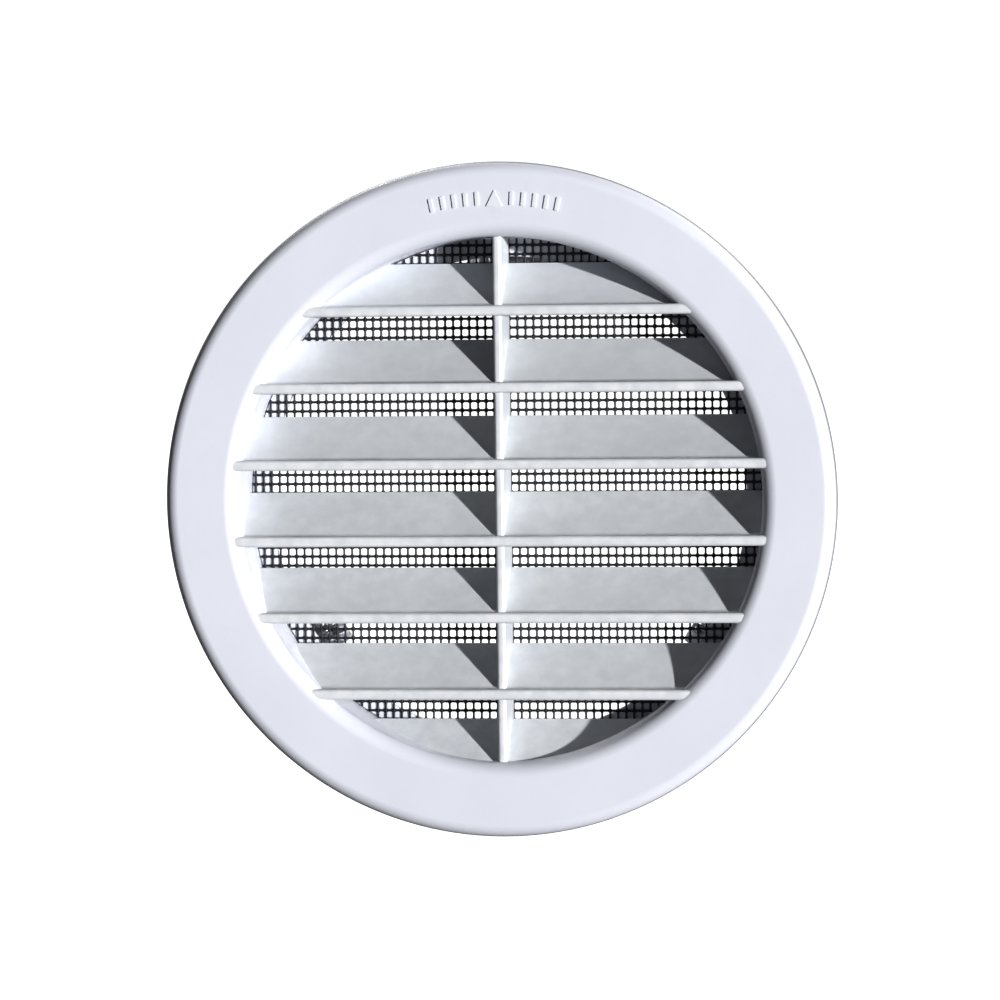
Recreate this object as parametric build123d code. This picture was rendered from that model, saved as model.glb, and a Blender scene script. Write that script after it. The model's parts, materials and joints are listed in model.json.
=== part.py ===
from build123d import *
from math import asin, atan2, cos, degrees, hypot, radians, sin, sqrt, tan
import os

# A round louvred ventilation grille that pushes into a hole in a wall or ceiling.
# Millimetres. The hole's axis is Y: the face looks along -Y and the collar runs along +Y into
# the hole. +Z is up. The origin is on that axis, in the plane where the flange meets the wall.

# ---- the hole it is made for ----
HOLE_D = 100.0              # bore of the duct or of the hole in the wall

# ---- face flange ----
FLANGE_OVERLAP = 10.0       # flange past the edge of the hole, all round
FLANGE_DEPTH = 3.5          # how far the face stands out from the wall
FLANGE_EDGE_R = 2.4         # round on the outer edge
FLANGE_SKIN = 2.0           # thickness of the face over the relief behind it
RIM_WIDTH = 2.2             # outer rim that rests on the wall
LAND_WIDTH = 1.5            # inner land beside the collar that rests on the wall
LIP_R = 2.7                 # round on the mouth of the throat
STIFFENER_COUNT = 24        # webs across the relief
STIFFENER_WIDTH = 1.2
STIFFENER_SINK = 0.3        # webs stop short of the wall

# ---- collar ----
COLLAR_WALL = 2.25
SEAT_HEIGHT = 0.5           # land that centres the grille, above the barrel of the collar
SEAT_LENGTH = 7.0
SEAT_RAMP = 0.4             # slope where the land drops to the barrel
LEAD_IN = 0.9               # chamfer on the collar's far end

# ---- louvres and rib ----
LOUVRE_COUNT = 7            # the lowest one is only the back half of a blade
THROAT_PITCHES = 6.85       # louvre pitches that fill the throat
BAR_HEIGHT = 1.85           # front bar of each blade
BAR_DEPTH = 3.1
BAR_SETBACK = 0.4           # bar behind the face of the flange
BAR_ROUND = 0.6
LOUVRE_THICK = 1.4
LOUVRE_SLOPE = 42.0         # degrees, falling towards the front so that rain runs out
SIGHT_GAP = 4.3             # open height seen straight through between two blades
BAR_DROP = 0.4              # bars below an even spread over the throat
RIB_THICK = 1.6
RIB_SETBACK = 2.3           # rib behind the front of the bars
RIB_SPINE = 0.8             # what is left of the rib behind the blades
RIB_ROUND = 0.6

# ---- insect screen and its ring ----
SCREEN_THICK = 0.5
RING_WIDTH = 3.4
RING_THICK = 1.4
RING_RIM = 1.4              # radial width of the ring's upstand
RING_HEIGHT = 2.2
CATCH_COUNT = 6             # beads that the ring snaps past
CATCH_BITE = 0.35
CATCH_LENGTH = 0.9
CATCH_ARC = 14.0            # degrees

# ---- spring clips ----
CLIP_COUNT = 3
PIN_D = 3.0
PIN_HEAD_D = 4.8
PIN_HEAD = 0.8
WIRE_D = 1.2
COIL_LENGTH = 2.9           # each of the two coils of a clip
BOW_WIDTH = 6.8             # between the centre lines of the bow's legs
BOW_CORNER_R = 1.6
BOW_ANGLE = 57.0            # degrees between the free bow and the collar
CLIP_REACH = 4.0            # free bow past the wall of the hole
RING_TO_PIVOT = 7.85        # back of the screen ring to the pin
PIVOT_TO_END = 5.0          # pin to the collar's far end
EAR_THICK = 1.8
EAR_ROUND_R = 3.4

# ---- raised marks on the face ----
MARK_HEIGHT = 0.25
MARK_STROKE = 0.7           # width of one raised tick
TICK_LENGTH = 2.4
TICK_COUNT = 5              # on each side of the arrow
TICK_STEP = 2.2             # degrees

# ---- clearances ----
IN_HOLE = 0.5               # land in the hole, radial
RUNNING = 0.08              # coil on its pin, radial
SEATED = 0.05               # pin in its ears, radial
SLIP = 0.15                 # a piece dropped into the throat, radial
FREE = 0.3                  # beside anything that moves
TOUCH = 0.1                 # behind the rib, in front of the catches
COIL_TO_WALL = 0.65
FOLDED_INSIDE_SEAT = 0.2    # folded bow inside the land's diameter

# ---- worked out from the sizes above ----
flange_r = HOLE_D / 2 + FLANGE_OVERLAP
seat_r = HOLE_D / 2 - IN_HOLE
barrel_r = seat_r - SEAT_HEIGHT
throat_r = barrel_r - COLLAR_WALL
wire_r = WIRE_D / 2
pin_r = PIN_D / 2
face_y = -FLANGE_DEPTH
lip_y = face_y + LIP_R

pitch = 2 * throat_r / THROAT_PITCHES
louvre_rise = pitch - BAR_HEIGHT - SIGHT_GAP
louvre_run = louvre_rise / tan(radians(LOUVRE_SLOPE))
bar_front = face_y + BAR_SETBACK
bar_back = bar_front + BAR_DEPTH
louvre_back = bar_back + louvre_run + LOUVRE_THICK * sin(radians(LOUVRE_SLOPE))
rib_back = louvre_back + RIB_SPINE
louvre_top_z = (LOUVRE_COUNT / 2 - 1) * pitch - BAR_DROP

screen_front = rib_back + TOUCH
screen_back = screen_front + SCREEN_THICK
ring_back = screen_back + RING_HEIGHT
catch_y = ring_back + TOUCH

coil_in_r = pin_r + RUNNING
coil_mean_r = coil_in_r + wire_r
coil_out_r = coil_in_r + WIRE_D
pivot_r = throat_r - coil_out_r - COIL_TO_WALL
pivot_y = ring_back + RING_TO_PIVOT
collar_length = pivot_y + PIVOT_TO_END
ear_inside = BOW_WIDTH / 2 - wire_r + COIL_LENGTH + FREE / 2
ear_outside = ear_inside + EAR_THICK
web_y = pivot_y + coil_out_r + FREE


def leg_points(fold):
    """Start and tip of a bow leg, as (r, y), with the bow folded in by so many degrees."""
    angle = radians(BOW_ANGLE)
    start_r = pivot_r + coil_mean_r * cos(angle)
    start_y = pivot_y + coil_mean_r * sin(angle)
    length = (HOLE_D / 2 + CLIP_REACH - wire_r - start_r) / sin(angle)
    turned = radians(BOW_ANGLE - fold)
    start = (pivot_r + coil_mean_r * cos(turned), pivot_y + coil_mean_r * sin(turned))
    tip = (start[0] + length * sin(turned), start[1] - length * cos(turned))
    return start, tip


def fold_to_seat():
    """Degrees that bring the corners of the bow inside the land's diameter."""
    tip = leg_points(0)[1]
    reach = hypot(tip[0] - pivot_r, tip[1] - pivot_y)
    free_angle = atan2(tip[0] - pivot_r, pivot_y - tip[1])
    corner = BOW_WIDTH / 2 + wire_r
    folded_r = sqrt((seat_r - FOLDED_INSIDE_SEAT) ** 2 - corner ** 2) - wire_r
    return degrees(free_angle - asin((folded_r - pivot_r) / reach))


fold = fold_to_seat()
window_front = leg_points(fold)[1][1] - wire_r - FREE
leg_start, leg_tip = leg_points(0)
leg_slope = (leg_tip[1] - leg_start[1]) / (leg_tip[0] - leg_start[0])
leg_back_y = leg_start[1] + leg_slope * (throat_r - leg_start[0]) + wire_r / sin(radians(BOW_ANGLE))
window_back = leg_back_y + FREE
window_half = BOW_WIDTH / 2 + wire_r + FREE


def turned_profile(*edges):
    """Solid of revolution about Y of a closed profile drawn as (radius, y)."""
    return revolve(make_face(edges), Axis.Y)


def ring_box(inner_r, outer_r, low_y, high_y):
    """Plain ring of rectangular section about Y."""
    width = outer_r - inner_r
    height = high_y - low_y
    return revolve(Pos(inner_r + width / 2, low_y + height / 2) * Rectangle(width, height), Axis.Y)


def about_y(shape, angle):
    """Copy of a shape turned about the hole's axis, from the top towards +X."""
    return Rot(0, angle, 0) * shape


def spread(count, start=0.0):
    """Evenly spaced angles in degrees."""
    return [start + i * 360.0 / count for i in range(count)]


clip_angles = spread(CLIP_COUNT)


def lip_arc():
    """Quarter round between the face and the throat wall."""
    centre = (throat_r + LIP_R, lip_y)
    return CenterArc(centre, LIP_R, 180, 90)


def throat_space(far_y):
    """The open space inside the flange and the collar, up to far_y."""
    return turned_profile(
        Line((0, face_y), (throat_r + LIP_R, face_y)),
        lip_arc(),
        Line((throat_r, lip_y), (throat_r, far_y)),
        Line((throat_r, far_y), (0, far_y)),
        Line((0, far_y), (0, face_y)),
    )


def fitting_marks():
    """An arrow for the way up between two rows of levelling ticks."""
    band_in = throat_r + LIP_R
    band_out = flange_r - FLANGE_EDGE_R
    middle_r = (band_in + band_out) / 2
    arrow_half = 0.6 * TICK_LENGTH
    arrow = Polyline(
        (0, middle_r + arrow_half),
        (arrow_half, middle_r - arrow_half),
        (-arrow_half, middle_r - arrow_half),
        close=True,
    )
    low_y = face_y - MARK_HEIGHT
    high_y = face_y + MARK_HEIGHT
    marks = [extrude(Plane.XZ.offset(-high_y) * make_face(arrow), high_y - low_y)]
    tick = Pos(0, face_y, middle_r) * Box(MARK_STROKE, 2 * MARK_HEIGHT, TICK_LENGTH)
    for number in range(1, TICK_COUNT + 1):
        for side in (-1, 1):
            marks.append(about_y(tick, side * (number + 0.5) * TICK_STEP))
    return marks


def make_flange():
    """Face ring with rounded edges and a stiffened relief behind it."""
    edge_centre = (flange_r - FLANGE_EDGE_R, face_y + FLANGE_EDGE_R)
    relief_in = seat_r + LAND_WIDTH
    relief_out = flange_r - RIM_WIDTH
    relief_y = face_y + FLANGE_SKIN
    body = turned_profile(
        lip_arc(),
        Line((throat_r + LIP_R, face_y), (edge_centre[0], face_y)),
        CenterArc(edge_centre, FLANGE_EDGE_R, 270, 90),
        Line((flange_r, edge_centre[1]), (flange_r, 0)),
        Line((flange_r, 0), (relief_out, 0)),
        Line((relief_out, 0), (relief_out, relief_y)),
        Line((relief_out, relief_y), (relief_in, relief_y)),
        Line((relief_in, relief_y), (relief_in, 0)),
        Line((relief_in, 0), (throat_r, 0)),
        Line((throat_r, 0), (throat_r, lip_y)),
    )
    web_length = relief_out - relief_in + 2 * TOUCH
    web_depth = -relief_y - STIFFENER_SINK
    web_middle = Pos(0, relief_y + web_depth / 2, (relief_in + relief_out) / 2)
    web = web_middle * Box(STIFFENER_WIDTH, web_depth, web_length)
    for angle in spread(STIFFENER_COUNT, 180.0 / STIFFENER_COUNT):
        body += about_y(web, angle)
    for mark in fitting_marks():
        body += mark
    return body


def make_collar():
    """Tube that goes into the hole, with a window for each clip and catches for the ring."""
    body = turned_profile(
        Polyline(
            (throat_r, 0),
            (seat_r, 0),
            (seat_r, SEAT_LENGTH),
            (barrel_r, SEAT_LENGTH + SEAT_RAMP),
            (barrel_r, collar_length - LEAD_IN),
            (barrel_r - LEAD_IN, collar_length),
            (throat_r, collar_length),
            close=True,
        )
    )
    catch = turned_profile(
        Polyline(
            (throat_r + TOUCH, catch_y),
            (throat_r - CATCH_BITE, catch_y),
            (throat_r + TOUCH, catch_y + CATCH_LENGTH),
            close=True,
        )
    )
    wedge_reach = 1.1 * throat_r
    half = radians(CATCH_ARC / 2)
    wedge = make_face(
        Polyline(
            (0, 0),
            (wedge_reach * sin(half), wedge_reach * cos(half)),
            (-wedge_reach * sin(half), wedge_reach * cos(half)),
            close=True,
        )
    )
    catch &= extrude(Plane.XZ.offset(-catch_y - CATCH_LENGTH) * wedge, CATCH_LENGTH)
    for angle in spread(CATCH_COUNT, 180.0 / CATCH_COUNT):
        body += about_y(catch, angle)
    window_length = window_back - window_front
    window = Box(2 * window_half, window_length, 4 * COLLAR_WALL)
    window = fillet(window.edges().filter_by(Axis.Z), COLLAR_WALL / 2)
    window = Pos(0, window_front + window_length / 2, (throat_r + barrel_r) / 2) * window
    for angle in clip_angles:
        body -= about_y(window, angle)
    return body


def plate_ends():
    """Back corners of a blade's plate in the YZ plane, with the middle of its bar at z = 0."""
    top = BAR_HEIGHT / 2
    slope = radians(LOUVRE_SLOPE)
    back_top = (bar_back + louvre_run, top + louvre_rise)
    back_low = (
        back_top[0] + LOUVRE_THICK * sin(slope),
        back_top[1] - LOUVRE_THICK * cos(slope),
    )
    return back_top, back_low


def louvre_section():
    """Section of a whole blade: the front bar and the plate that rises behind it."""
    top = BAR_HEIGHT / 2
    slope = radians(LOUVRE_SLOPE)
    back_top, back_low = plate_ends()
    under_y = back_low[0] - (back_low[1] + top) / tan(slope)
    outline = Polyline(
        (bar_front, -top),
        (under_y, -top),
        back_low,
        back_top,
        (bar_back, top),
        (bar_front, top),
        close=True,
    )
    section = make_face(outline)
    front = section.vertices().filter_by_position(Axis.X, bar_front - TOUCH, bar_front + TOUCH)
    section = fillet(front, BAR_ROUND)
    crook = section.vertices().sort_by_distance((bar_back, top))[0]
    return fillet(crook, BAR_ROUND)


def half_louvre_section():
    """Section of the lowest blade: only the plate, run on until it is well inside the wall."""
    slope = radians(LOUVRE_SLOPE)
    back_top, back_low = plate_ends()
    run = louvre_run + BAR_DEPTH
    rise = run * tan(slope)
    front_top = (back_top[0] - run, back_top[1] - rise)
    front_low = (back_low[0] - run, back_low[1] - rise)
    return make_face(Polyline(front_top, front_low, back_low, back_top, close=True))


def louvre_blank(index):
    """Blade number index (1 is the top one), longer than the throat is wide."""
    z = louvre_top_z - (index - 1) * pitch
    section = half_louvre_section() if index == LOUVRE_COUNT else louvre_section()
    blade = extrude(Plane.YZ * section, flange_r, both=True)
    return Pos(0, 0, z) * blade


def make_rib(blanks):
    """Upright comb behind the bars: the blades sit in its slots."""
    front = bar_front + RIB_SETBACK
    blade = Box(RIB_THICK, rib_back - front, 2 * flange_r)
    front_edges = blade.edges().filter_by(Axis.Z).sort_by(Axis.Y)[:2]
    blade = Pos(0, (front + rib_back) / 2, 0) * fillet(front_edges, RIB_ROUND)
    blade &= throat_space(rib_back + FREE)
    for blank in blanks:
        blade -= blank
    return blade


def make_screen_ring():
    """Snap ring of L section that presses the screen against the rib."""
    outer = throat_r - SLIP
    inner = outer - RING_WIDTH
    return turned_profile(
        Polyline(
            (inner, screen_back),
            (outer, screen_back),
            (outer, ring_back),
            (outer - RING_RIM, ring_back),
            (outer - RING_RIM, screen_back + RING_THICK),
            (inner, screen_back + RING_THICK),
            close=True,
        )
    )


def pin_hole(radius, length):
    """Cylinder along X on the top clip's pin axis."""
    return Pos(0, pivot_y, pivot_r) * Rot(0, 90, 0) * Cylinder(radius, length)


def make_bracket():
    """Two ears joined by a web behind the coils, on the inside of the collar."""
    length = 2 * ear_outside
    ear = pin_hole(EAR_ROUND_R, length)
    back = Pos(0, (pivot_y + collar_length) / 2, (pivot_r + throat_r) / 2)
    back_depth = collar_length - pivot_y
    ear += back * Box(length, back_depth, throat_r - pivot_r)
    foot = Pos(0, pivot_y, (pivot_r + throat_r) / 2)
    ear += foot * Box(length, 2 * EAR_ROUND_R, throat_r - pivot_r)
    root = Pos(0, (pivot_y + collar_length) / 2, pivot_r - EAR_ROUND_R / 2)
    ear += root * Box(length, back_depth, EAR_ROUND_R)
    gap_front = pivot_y - EAR_ROUND_R - FREE
    gap = Box(2 * ear_inside, web_y - gap_front, 4 * EAR_ROUND_R)
    ear -= Pos(0, (gap_front + web_y) / 2, pivot_r) * gap
    ear &= throat_space(collar_length)
    ear &= Pos(0, pivot_y, pivot_r) * Box(length, 4 * EAR_ROUND_R, 4 * EAR_ROUND_R)
    return ear - pin_hole(pin_r + SEATED, 2 * length)


def make_pin():
    """Headed pin through both ears."""
    end = ear_outside + PIN_HEAD
    shank = Pos(0, pivot_y, pivot_r) * Rot(0, 90, 0) * Cylinder(pin_r, ear_outside + end)
    shank = Pos((ear_outside + end) / 2 - ear_outside, 0, 0) * shank
    shank = chamfer(shank.edges().sort_by(Axis.X)[0], SLIP)
    head = Pos(ear_outside + PIN_HEAD / 2, pivot_y, pivot_r)
    return shank + head * Rot(0, 90, 0) * Cylinder(PIN_HEAD_D / 2, PIN_HEAD)


def make_spring_clip():
    """Wire bow with a coil on the pin at each side, drawn free of the hole's wall."""
    half = BOW_WIDTH / 2
    start = leg_start
    tip = leg_tip
    path = FilletPolyline(
        (-half, start[1], start[0]),
        (-half, tip[1], tip[0]),
        (half, tip[1], tip[0]),
        (half, start[1], start[0]),
        radius=BOW_CORNER_R,
    )
    clip = sweep(Plane(path @ 0, z_dir=path % 0) * Circle(wire_r), path)
    for side in (-1, 1):
        middle = side * (half - wire_r + COIL_LENGTH / 2)
        coil = Rot(0, 90, 0) * Cylinder(coil_out_r, COIL_LENGTH)
        clip += Pos(middle, pivot_y, pivot_r) * coil
    return clip - pin_hole(coil_in_r, 4 * BOW_WIDTH)


os.makedirs("parts", exist_ok=True)

blanks = [louvre_blank(i + 1) for i in range(LOUVRE_COUNT)]
space = throat_space(collar_length)
screen = ring_box(0, throat_r - SLIP, screen_front, screen_back)
bracket = make_bracket()
pin = make_pin()
spring_clip = make_spring_clip()

pieces = {
    "flange": make_flange(),
    "collar": make_collar(),
    "centre_rib": make_rib(blanks),
    "insect_screen": screen,
    "screen_ring": make_screen_ring(),
}
for number, blank in enumerate(blanks, 1):
    pieces[f"louvre_{number}"] = blank & space
for number, angle in enumerate(clip_angles, 1):
    pieces[f"clip_bracket_{number}"] = about_y(bracket, angle)
    pieces[f"clip_pin_{number}"] = about_y(pin, angle)
    pieces[f"spring_clip_{number}"] = about_y(spring_clip, angle)

for name, shape in pieces.items():
    export_step(shape, f"parts/{name}.step")

print(f"louvre pitch {pitch:.3f}, blades end {louvre_back:.3f}, screen {screen_front:.3f}")
print(f"clip pin at r {pivot_r:.3f}, y {pivot_y:.3f}; the bow folds in by {fold:.2f} degrees")
print(f"window y {window_front:.3f} to {window_back:.3f}, ears {ear_inside:.2f} to {ear_outside:.2f}")
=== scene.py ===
import bpy
import json
from math import ceil, cos, pi, radians, sin, tan
from mathutils import Matrix, Vector


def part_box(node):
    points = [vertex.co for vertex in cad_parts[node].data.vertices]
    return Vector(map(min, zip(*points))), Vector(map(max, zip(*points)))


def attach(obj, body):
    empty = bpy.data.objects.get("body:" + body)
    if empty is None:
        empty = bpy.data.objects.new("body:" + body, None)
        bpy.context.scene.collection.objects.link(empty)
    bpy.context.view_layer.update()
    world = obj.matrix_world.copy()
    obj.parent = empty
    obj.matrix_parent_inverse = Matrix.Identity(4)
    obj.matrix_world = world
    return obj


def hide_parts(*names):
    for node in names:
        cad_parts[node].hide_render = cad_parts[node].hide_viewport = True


# A round louvred ventilation grille: flanged face, collar, seven sloping blades on a centre
# rib, a woven insect screen under a snap ring, and three sprung wire clips.
# Metres. The hole's axis is Y, the face looks along -Y, +Z is up.

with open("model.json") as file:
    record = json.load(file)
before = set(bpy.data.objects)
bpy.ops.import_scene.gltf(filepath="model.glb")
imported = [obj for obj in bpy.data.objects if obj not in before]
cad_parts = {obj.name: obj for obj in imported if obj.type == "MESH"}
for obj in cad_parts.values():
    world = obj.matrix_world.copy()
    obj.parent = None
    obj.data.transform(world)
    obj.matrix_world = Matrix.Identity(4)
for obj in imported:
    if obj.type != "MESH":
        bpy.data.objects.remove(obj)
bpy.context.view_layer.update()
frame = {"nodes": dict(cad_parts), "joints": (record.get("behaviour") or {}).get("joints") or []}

BODY = "grille"
MM = 0.001

# ---- sizes of the details, which the frame's boxes don't give ----
LIP_R = 2.7 * MM
EDGE_R = 2.4 * MM
SMALL_R = 0.25 * MM
FACE_SKIN = 2.0 * MM
RIM_WIDTH = 2.2 * MM
LAND_WIDTH = 1.5 * MM
MARK_HEIGHT = 0.25 * MM
MARK_STROKE = 0.7 * MM
TICK_LENGTH = 2.4 * MM
TICK_COUNT = 5
TICK_STEP = radians(2.2)
WEB_COUNT = 24
WEB_WIDTH = 1.2 * MM
WEB_SINK = 0.3 * MM
BLADE_COUNT = 7                # the lowest one has no bar
BAR_HEIGHT = 1.85 * MM
BAR_DEPTH = 3.1 * MM
BAR_ROUND = 0.6 * MM
BLADE_THICK = 1.4 * MM
BLADE_SLOPE = radians(42.0)
BLADE_BACK_ROUND = 0.32 * MM
RIB_FRONT_ROUND = 0.6 * MM
RIB_BACK_ROUND = 0.2 * MM
MESH_PITCH_X = 1.457 * MM
MESH_PITCH_Z = 1.645 * MM
WIRE_THICK = 0.25 * MM
CROSS_WIRE_WIDTH = 0.48 * MM
UPRIGHT_WIRE_WIDTH = 0.40 * MM
KNOT_R = 0.44 * MM             # bead of coating at each crossing
KNOT_THICK = 0.40 * MM
WEAVE = 0.12 * MM
SCREEN_CLEAR = 0.1 * MM
RING_WIDTH = 3.4 * MM
RING_THICK = 1.4 * MM
RING_RIM = 1.4 * MM
CLIP_WIRE_R = 0.6 * MM
COIL_CLEAR = 0.08 * MM
PIN_R = 1.5 * MM
BOW_WIDTH = 6.8 * MM
BOW_CORNER_R = 1.6 * MM
BOW_ANGLE = radians(57.0)
COIL_LENGTH = 2.9 * MM
PIN_CLEAR = 0.05 * MM
PIN_HEAD_R = 2.4 * MM
PIN_HEAD = 0.8 * MM
EAR_THICK = 1.8 * MM
EAR_SIDE_GAP = 0.15 * MM
EAR_ROUND_R = 3.4 * MM
COIL_TO_WEB = 0.3 * MM
SEAT_LENGTH = 7.0 * MM
SEAT_HEIGHT = 0.5 * MM
SEAT_RAMP = 0.4 * MM
LEAD_IN = 0.9 * MM
CATCH_COUNT = 6
CATCH_BITE = 0.35 * MM
CATCH_LENGTH = 0.9 * MM
CATCH_ARC = radians(14.0)
CATCH_GAP = 0.1 * MM
WINDOW_CLEAR = 0.3 * MM
WINDOW_CORNER_R = 1.1 * MM
TURN_STEPS = 256

# ---- places, from the frame ----
flange_low, flange_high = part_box("flange")
collar_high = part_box("collar")[1]
rib_low, rib_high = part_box("centre_rib")
screen_low, screen_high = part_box("insect_screen")
ring_low, ring_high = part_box("screen_ring")
clip_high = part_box("spring_clip_1")[1]
blade_boxes = [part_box(f"louvre_{number}") for number in range(1, BLADE_COUNT + 1)]

flange_r = flange_high.x
face_y = flange_low.y + MARK_HEIGHT
seat_r = collar_high.x
throat_r = rib_high.z
bar_front, blade_back = blade_boxes[3][0].y, blade_boxes[3][1].y
bar_back = bar_front + BAR_DEPTH
blade_run = blade_back - BLADE_THICK * sin(BLADE_SLOPE) - bar_back
blade_rise = blade_run * tan(BLADE_SLOPE)
bar_z = [low.z + BAR_HEIGHT / 2 for low, high in blade_boxes[:6]]
bar_z.append(2 * bar_z[5] - bar_z[4])
screen_y = (screen_low.y + screen_high.y) / 2
pivot = Vector(frame["joints"][0]["pos_m"])
clip_angles = [2 * pi * number / 3 for number in range(3)]
coil_r = PIN_R + COIL_CLEAR + CLIP_WIRE_R
ear_inside = BOW_WIDTH / 2 - CLIP_WIRE_R + COIL_LENGTH + EAR_SIDE_GAP
ear_outside = ear_inside + EAR_THICK


# ---- modelling helpers ----
def deselect():
    if bpy.context.mode != "OBJECT":
        bpy.ops.object.mode_set(mode="OBJECT")
    bpy.ops.object.select_all(action="DESELECT")


def use(piece):
    """Makes one object the selected and active one."""
    deselect()
    piece.select_set(True)
    bpy.context.view_layer.objects.active = piece


def edit(piece, mode="VERT"):
    use(piece)
    bpy.ops.object.mode_set(mode="EDIT")
    bpy.ops.mesh.select_mode(type=mode)
    bpy.ops.mesh.select_all(action="SELECT")


def done():
    bpy.ops.object.mode_set(mode="OBJECT")


def named(name):
    piece = bpy.context.active_object
    piece.name = name
    piece.data.name = name
    return piece


def tidy_shell():
    """In edit mode: merges doubles and turns every face outwards."""
    bpy.ops.mesh.select_all(action="SELECT")
    bpy.ops.mesh.remove_doubles(threshold=0.001 * MM)
    bpy.ops.mesh.normals_make_consistent(inside=False)


def pick(piece, places, reach=0.02 * MM):
    """Selects only the vertices that lie on one of the places."""
    edit(piece)
    bpy.ops.mesh.select_all(action="DESELECT")
    done()
    for vertex in piece.data.vertices:
        vertex.select = any((vertex.co - Vector(place)).length < reach for place in places)
    bpy.ops.object.mode_set(mode="EDIT")


def pick_edges(piece, test):
    """Selects only the edges whose two ends pass a test."""
    edit(piece, "EDGE")
    bpy.ops.mesh.select_all(action="DESELECT")
    done()
    points = piece.data.vertices
    for edge in piece.data.edges:
        start, end = (points[index].co for index in edge.vertices)
        edge.select = test(start, end)
    bpy.ops.object.mode_set(mode="EDIT")


def outline(name, corners):
    """Closed wire through corners given as (place, round, segments); a round of 0 stays sharp."""
    deselect()
    bpy.ops.mesh.primitive_circle_add(vertices=len(corners), radius=MM)
    piece = named(name)
    for vertex, (place, size, segments) in zip(piece.data.vertices, corners):
        vertex.co = place
    for place, size, segments in sorted(corners, key=lambda corner: -corner[1]):
        if size:
            pick(piece, [place])
            bpy.ops.mesh.bevel(
                offset=size, offset_type="OFFSET", segments=segments, affect="VERTICES",
                clamp_overlap=False,
            )
    return piece


def turned(name, corners, steps=TURN_STEPS):
    """Solid of revolution about Y of an outline drawn as (radius, depth, round, segments)."""
    piece = outline(name, [((0, y, r), size, segments) for r, y, size, segments in corners])
    edit(piece)
    bpy.ops.mesh.spin(steps=steps, angle=2 * pi, center=(0, 0, 0), axis=(0, 1, 0))
    tidy_shell()
    done()
    return piece


def modify(piece, kind, **settings):
    """Adds a modifier, sets it and applies it."""
    use(piece)
    modifier = piece.modifiers.new(kind.lower(), kind)
    for key, value in settings.items():
        setattr(modifier, key, value)
    bpy.ops.object.modifier_apply(modifier=modifier.name)


def combine(piece, other, operation):
    """Boolean of two closed solids; the second one is used up."""
    modify(piece, "BOOLEAN", object=other, operation=operation, solver="EXACT")
    bpy.data.objects.remove(other)


def join(name, pieces):
    deselect()
    for piece in pieces:
        piece.select_set(True)
    bpy.context.view_layer.objects.active = pieces[0]
    bpy.ops.object.join()
    return named(name)


def copy_of(piece, name):
    copy = piece.copy()
    copy.data = piece.data.copy()
    copy.name = name
    copy.data.name = name
    bpy.context.scene.collection.objects.link(copy)
    return copy


def settle(piece, location=(0, 0, 0), rotation=(0, 0, 0)):
    """Moves and turns a piece, and keeps its place in its mesh."""
    use(piece)
    piece.location = location
    piece.rotation_euler = rotation
    bpy.ops.object.transform_apply(location=True, rotation=True, scale=True)


def block(name, middle, size):
    """Box added at its size and place."""
    deselect()
    bpy.ops.mesh.primitive_cube_add(size=1, location=middle, scale=size)
    piece = named(name)
    bpy.ops.object.transform_apply(location=True, rotation=True, scale=True)
    return piece


def soften(piece, width=0.15 * MM, segments=2, angle=40):
    """Small rounds on every sharp edge, as a moulding tool leaves them."""
    modify(
        piece, "BEVEL", width=width, segments=segments, limit_method="ANGLE",
        angle_limit=radians(angle), miter_outer="MITER_ARC",
    )


def shade(piece, angle=30):
    use(piece)
    bpy.ops.object.shade_smooth_by_angle(angle=radians(angle))
    modify(piece, "WEIGHTED_NORMAL", keep_sharp=True, weight=100)


def finish_piece(piece, slot, *nodes, body=BODY):
    piece.data.materials.clear()
    piece.data.materials.append(finishes[slot])
    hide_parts(*nodes)
    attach(piece, body)
    return piece


# ---- materials ----
def socket(group, name, kind, out=False, value=None):
    item = group.interface.new_socket(
        name=name, in_out="OUTPUT" if out else "INPUT", socket_type=kind
    )
    if value is not None:
        item.default_value = value


def node(tree, kind, inputs=None, **settings):
    item = tree.nodes.new(kind)
    for key, value in settings.items():
        setattr(item, key, value)
    for key, value in (inputs or {}).items():
        if isinstance(value, bpy.types.NodeSocket):
            tree.links.new(value, item.inputs[key])
        else:
            item.inputs[key].default_value = value
    return item


def ramp(tree, fac, stops):
    item = node(tree, "ShaderNodeValToRGB", {"Fac": fac})
    elements = item.color_ramp.elements
    for element, (place, level) in zip(elements, stops):
        element.position = place
        element.color = (level, level, level, 1)
    return item.outputs["Color"]


def new_group(name, inputs, outputs):
    """Empty node group with named sockets; gives the group, its inputs and its output node."""
    group = bpy.data.node_groups.new(name, "ShaderNodeTree")
    for label, kind, value in inputs:
        socket(group, label, kind, value=value)
    for label, kind in outputs:
        socket(group, label, kind, out=True)
    start = group.nodes.new("NodeGroupInput")
    end = group.nodes.new("NodeGroupOutput")
    return group, start.outputs, end.inputs


def build_moulded_grain():
    """Fine spark-eroded grain with a slower waviness under it."""
    group, given, result = new_group(
        "moulded_grain",
        [("Vector", "NodeSocketVector", None), ("Fine", "NodeSocketFloat", 2600.0),
         ("Wave", "NodeSocketFloat", 90.0)],
        [("Height", "NodeSocketFloat"), ("Speckle", "NodeSocketFloat")],
    )
    fine = node(group, "ShaderNodeTexNoise", {
        "Vector": given["Vector"], "Scale": given["Fine"], "Detail": 3.0, "Roughness": 0.55})
    wave = node(group, "ShaderNodeTexNoise", {
        "Vector": given["Vector"], "Scale": given["Wave"], "Detail": 2.0, "Roughness": 0.5})
    mixed = node(group, "ShaderNodeMath", {
        0: wave.outputs["Fac"], 1: 0.6, 2: fine.outputs["Fac"]}, operation="MULTIPLY_ADD")
    group.links.new(mixed.outputs[0], result["Height"])
    group.links.new(fine.outputs["Fac"], result["Speckle"])
    return group


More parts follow.
